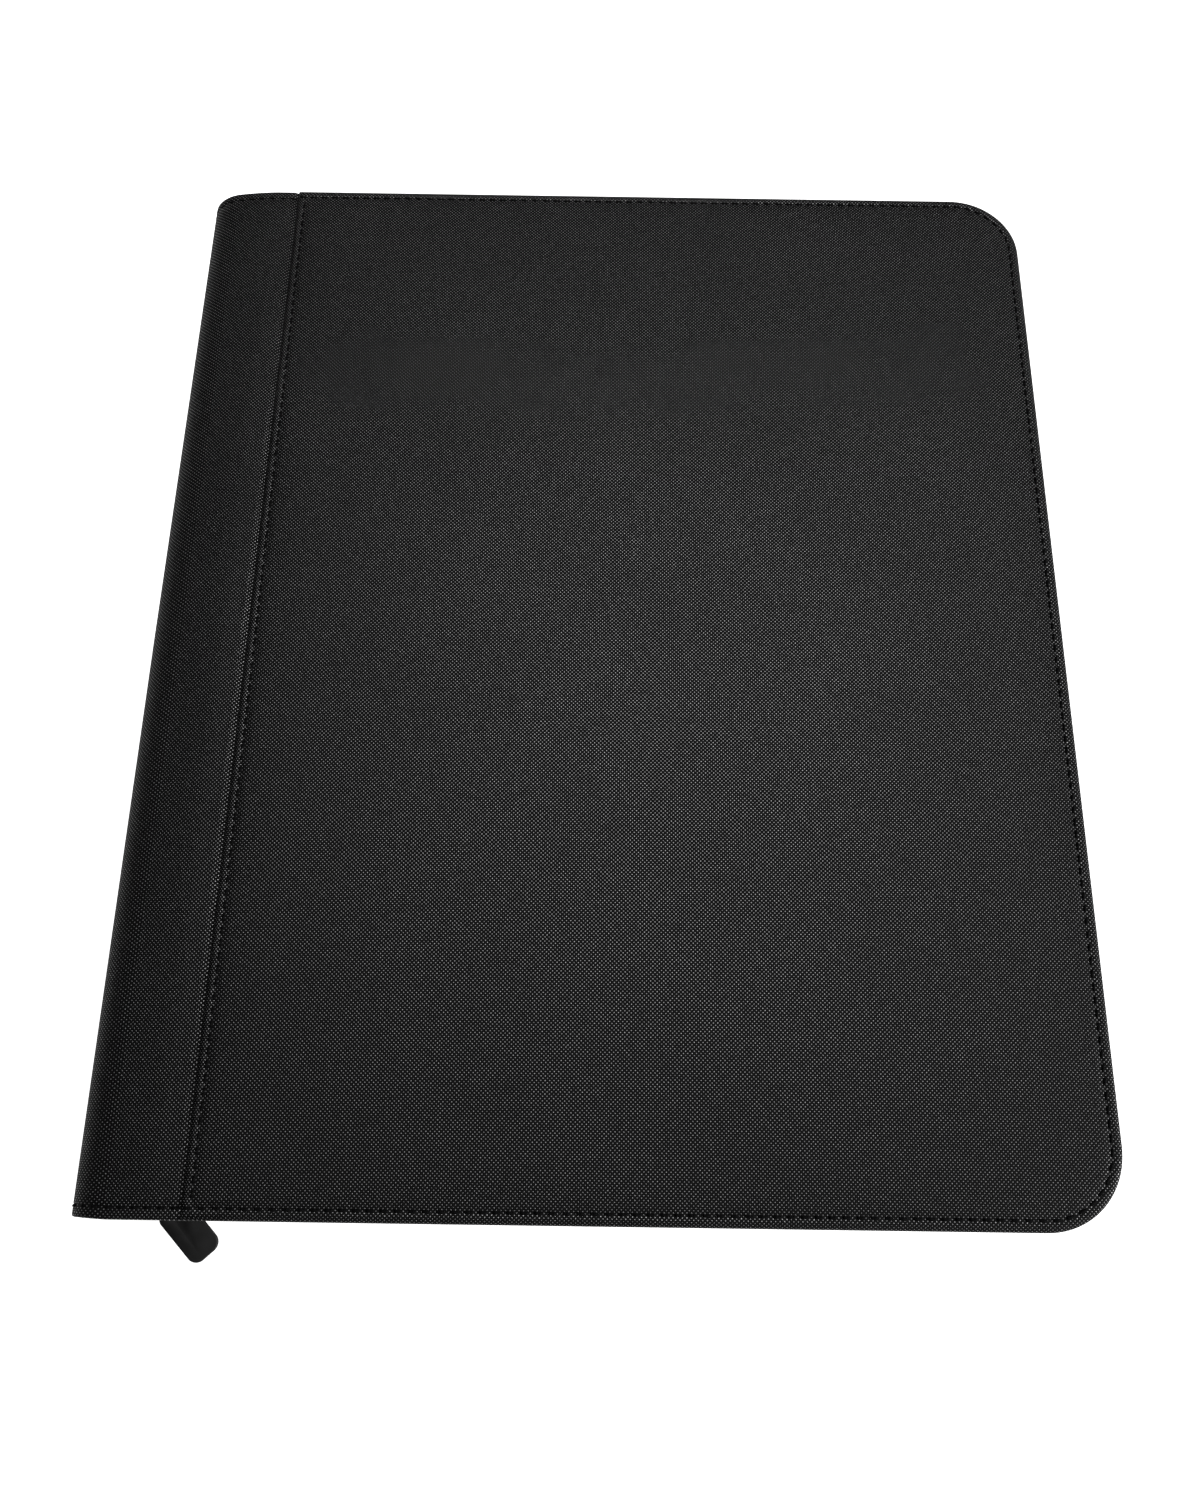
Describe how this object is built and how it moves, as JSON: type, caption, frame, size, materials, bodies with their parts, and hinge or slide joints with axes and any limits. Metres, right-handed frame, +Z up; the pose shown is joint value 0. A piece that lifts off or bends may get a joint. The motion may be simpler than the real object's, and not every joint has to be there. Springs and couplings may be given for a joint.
{
  "type": "trading card binder",
  "caption": "Zip-round card binder with padded cloth covers on a folding spine, side-loading pocket leaves that turn, and a zip slider with a swinging pull tab.",
  "frame": {"origin": "centre of the rear cover's outer face, on the surface that the closed binder lies on", "axes": "+X from the spine to the opening edge, +Y from the tail edge to the head edge, +Z up through the thickness"},
  "size_m": [0.276, 0.3473, 0.038],
  "materials": {
    "cover_cloth": "black woven cloth, faint sheen",
    "foam": "closed-cell padding foam",
    "board": "grey-brown binder's board",
    "lining": "smooth black lining sheet",
    "thread": "black polyester thread",
    "zip_tape": "black woven zip tape",
    "zip_coil": "black nylon coil",
    "zip_metal": "black lacquered zinc",
    "pull_rubber": "smooth matt black",
    "leaf_sheet": "black polypropylene sheet under clear film"
  },
  "bodies": {
    "rear_cover": {"rear_cover_cloth": "cover_cloth", "rear_cover_foam": "foam", "rear_cover_board": "board", "rear_cover_lining": "lining", "rear_edge_thread": "thread", "rear_seam_thread": "thread", "rear_spine_lip": "cover_cloth", "rear_zip_tape": "zip_tape", "rear_zip_coil": "zip_coil", "zip_start_stop": "zip_metal", "rear_end_stop": "zip_metal", "front_zip_start": "zip_coil"},
    "spine": {"spine_cloth": "cover_cloth", "spine_board": "board", "spine_lining": "lining", "spine_edge_thread": "thread", "leaf_strip": "leaf_sheet", "lower_leaf_hinges": "leaf_sheet", "upper_leaf_hinges": "leaf_sheet"},
    "front_cover": {"front_cover_cloth": "cover_cloth", "front_cover_foam": "foam", "front_cover_board": "board", "front_cover_lining": "lining", "front_edge_thread": "thread", "front_seam_thread": "thread", "front_spine_lip": "cover_cloth", "front_zip_tape": "zip_tape", "front_zip_coil": "zip_coil", "front_end_stop": "zip_metal"},
    "zip_slider": {"slider_body": "zip_metal", "slider_bail": "zip_metal"},
    "pull": {"pull_link": "zip_metal", "pull_tab": "pull_rubber"},
    "leaf_01": {"leaf_01": "leaf_sheet"},
    "leaf_02": {"leaf_02": "leaf_sheet"},
    "leaf_03": {"leaf_03": "leaf_sheet"},
    "leaf_04": {"leaf_04": "leaf_sheet"},
    "leaf_05": {"leaf_05": "leaf_sheet"},
    "leaf_06": {"leaf_06": "leaf_sheet"},
    "leaf_07": {"leaf_07": "leaf_sheet"},
    "leaf_08": {"leaf_08": "leaf_sheet"},
    "leaf_09": {"leaf_09": "leaf_sheet"},
    "leaf_10": {"leaf_10": "leaf_sheet"},
    "leaf_11": {"leaf_11": "leaf_sheet"},
    "leaf_12": {"leaf_12": "leaf_sheet"},
    "leaf_13": {"leaf_13": "leaf_sheet"},
    "leaf_14": {"leaf_14": "leaf_sheet"},
    "leaf_15": {"leaf_15": "leaf_sheet"},
    "leaf_16": {"leaf_16": "leaf_sheet"},
    "leaf_17": {"leaf_17": "leaf_sheet"},
    "leaf_18": {"leaf_18": "leaf_sheet"},
    "leaf_19": {"leaf_19": "leaf_sheet"},
    "leaf_20": {"leaf_20": "leaf_sheet"}
  },
  "joints": [
    {"name": "spine_fold", "type": "hinge", "parent": "rear_cover", "child": "spine", "pos_m": [-0.13628, 0, 0.00332], "axis": [0, -1, 0], "range_deg": [0, 90], "deforming": ["lower_leaf_hinges"]},
    {"name": "front_cover_fold", "type": "hinge", "parent": "spine", "child": "front_cover", "pos_m": [-0.13628, 0, 0.03468], "axis": [0, -1, 0], "range_deg": [0, 90], "deforming": ["upper_leaf_hinges"]},
    {"name": "leaf_01_turn", "type": "hinge", "parent": "spine", "child": "leaf_01", "pos_m": [-0.13325, 0, 0.00635], "axis": [0, -1, 0], "range_deg": [-90, 0]},
    {"name": "leaf_02_turn", "type": "hinge", "parent": "spine", "child": "leaf_02", "pos_m": [-0.13251, 0, 0.00709], "axis": [0, -1, 0], "range_deg": [-90, 0]},
    {"name": "leaf_03_turn", "type": "hinge", "parent": "spine", "child": "leaf_03", "pos_m": [-0.13172, 0, 0.00788], "axis": [0, -1, 0], "range_deg": [-90, 0]},
    {"name": "leaf_04_turn", "type": "hinge", "parent": "spine", "child": "leaf_04", "pos_m": [-0.13087, 0, 0.00873], "axis": [0, -1, 0], "range_deg": [-90, 0]},
    {"name": "leaf_05_turn", "type": "hinge", "parent": "spine", "child": "leaf_05", "pos_m": [-0.12996, 0, 0.00964], "axis": [0, -1, 0], "range_deg": [-90, 0]},
    {"name": "leaf_06_turn", "type": "hinge", "parent": "spine", "child": "leaf_06", "pos_m": [-0.12899, 0, 0.0106], "axis": [0, -1, 0], "range_deg": [-90, 0]},
    {"name": "leaf_07_turn", "type": "hinge", "parent": "spine", "child": "leaf_07", "pos_m": [-0.12796, 0, 0.01164], "axis": [0, -1, 0], "range_deg": [-90, 0]},
    {"name": "leaf_08_turn", "type": "hinge", "parent": "spine", "child": "leaf_08", "pos_m": [-0.12684, 0, 0.01276], "axis": [0, -1, 0], "range_deg": [-90, 0]},
    {"name": "leaf_09_turn", "type": "hinge", "parent": "spine", "child": "leaf_09", "pos_m": [-0.12563, 0, 0.01397], "axis": [0, -1, 0], "range_deg": [-90, 0]},
    {"name": "leaf_10_turn", "type": "hinge", "parent": "spine", "child": "leaf_10", "pos_m": [-0.12431, 0, 0.01529], "axis": [0, -1, 0], "range_deg": [-90, 0]},
    {"name": "leaf_11_turn", "type": "hinge", "parent": "spine", "child": "leaf_11", "pos_m": [-0.12431, 0, 0.02271], "axis": [0, -1, 0], "range_deg": [0, 90]},
    {"name": "leaf_12_turn", "type": "hinge", "parent": "spine", "child": "leaf_12", "pos_m": [-0.12563, 0, 0.02403], "axis": [0, -1, 0], "range_deg": [0, 90]},
    {"name": "leaf_13_turn", "type": "hinge", "parent": "spine", "child": "leaf_13", "pos_m": [-0.12684, 0, 0.02524], "axis": [0, -1, 0], "range_deg": [0, 90]},
    {"name": "leaf_14_turn", "type": "hinge", "parent": "spine", "child": "leaf_14", "pos_m": [-0.12796, 0, 0.02636], "axis": [0, -1, 0], "range_deg": [0, 90]},
    {"name": "leaf_15_turn", "type": "hinge", "parent": "spine", "child": "leaf_15", "pos_m": [-0.12899, 0, 0.02739], "axis": [0, -1, 0], "range_deg": [0, 90]},
    {"name": "leaf_16_turn", "type": "hinge", "parent": "spine", "child": "leaf_16", "pos_m": [-0.12996, 0, 0.02836], "axis": [0, -1, 0], "range_deg": [0, 90]},
    {"name": "leaf_17_turn", "type": "hinge", "parent": "spine", "child": "leaf_17", "pos_m": [-0.13087, 0, 0.02927], "axis": [0, -1, 0], "range_deg": [0, 90]},
    {"name": "leaf_18_turn", "type": "hinge", "parent": "spine", "child": "leaf_18", "pos_m": [-0.13172, 0, 0.03012], "axis": [0, -1, 0], "range_deg": [0, 90]},
    {"name": "leaf_19_turn", "type": "hinge", "parent": "spine", "child": "leaf_19", "pos_m": [-0.13251, 0, 0.03091], "axis": [0, -1, 0], "range_deg": [0, 90]},
    {"name": "leaf_20_turn", "type": "hinge", "parent": "spine", "child": "leaf_20", "pos_m": [-0.13325, 0, 0.03165], "axis": [0, -1, 0], "range_deg": [0, 90]},
    {"name": "zip_slider_travel", "type": "slide", "parent": "rear_cover", "child": "zip_slider", "axis": [1, 0, 0], "range_m": [0, 0.23]},
    {"name": "pull_swing", "type": "hinge", "parent": "zip_slider", "child": "pull", "pos_m": [-0.1236, -0.1621, 0.019], "axis": [0, 0, -1], "range_deg": [-8, 72]}
  ],
  "couplings": [
    {"joint": "leaf_01_turn", "follows": "spine_fold", "ratio": -1},
    {"joint": "leaf_02_turn", "follows": "spine_fold", "ratio": -1},
    {"joint": "leaf_03_turn", "follows": "spine_fold", "ratio": -1},
    {"joint": "leaf_04_turn", "follows": "spine_fold", "ratio": -1},
    {"joint": "leaf_05_turn", "follows": "spine_fold", "ratio": -1},
    {"joint": "leaf_06_turn", "follows": "spine_fold", "ratio": -1},
    {"joint": "leaf_07_turn", "follows": "spine_fold", "ratio": -1},
    {"joint": "leaf_08_turn", "follows": "spine_fold", "ratio": -1},
    {"joint": "leaf_09_turn", "follows": "spine_fold", "ratio": -1},
    {"joint": "leaf_10_turn", "follows": "spine_fold", "ratio": -1},
    {"joint": "leaf_11_turn", "follows": "front_cover_fold", "ratio": 1},
    {"joint": "leaf_12_turn", "follows": "front_cover_fold", "ratio": 1},
    {"joint": "leaf_13_turn", "follows": "front_cover_fold", "ratio": 1},
    {"joint": "leaf_14_turn", "follows": "front_cover_fold", "ratio": 1},
    {"joint": "leaf_15_turn", "follows": "front_cover_fold", "ratio": 1},
    {"joint": "leaf_16_turn", "follows": "front_cover_fold", "ratio": 1},
    {"joint": "leaf_17_turn", "follows": "front_cover_fold", "ratio": 1},
    {"joint": "leaf_18_turn", "follows": "front_cover_fold", "ratio": 1},
    {"joint": "leaf_19_turn", "follows": "front_cover_fold", "ratio": 1},
    {"joint": "leaf_20_turn", "follows": "front_cover_fold", "ratio": 1}
  ]
}
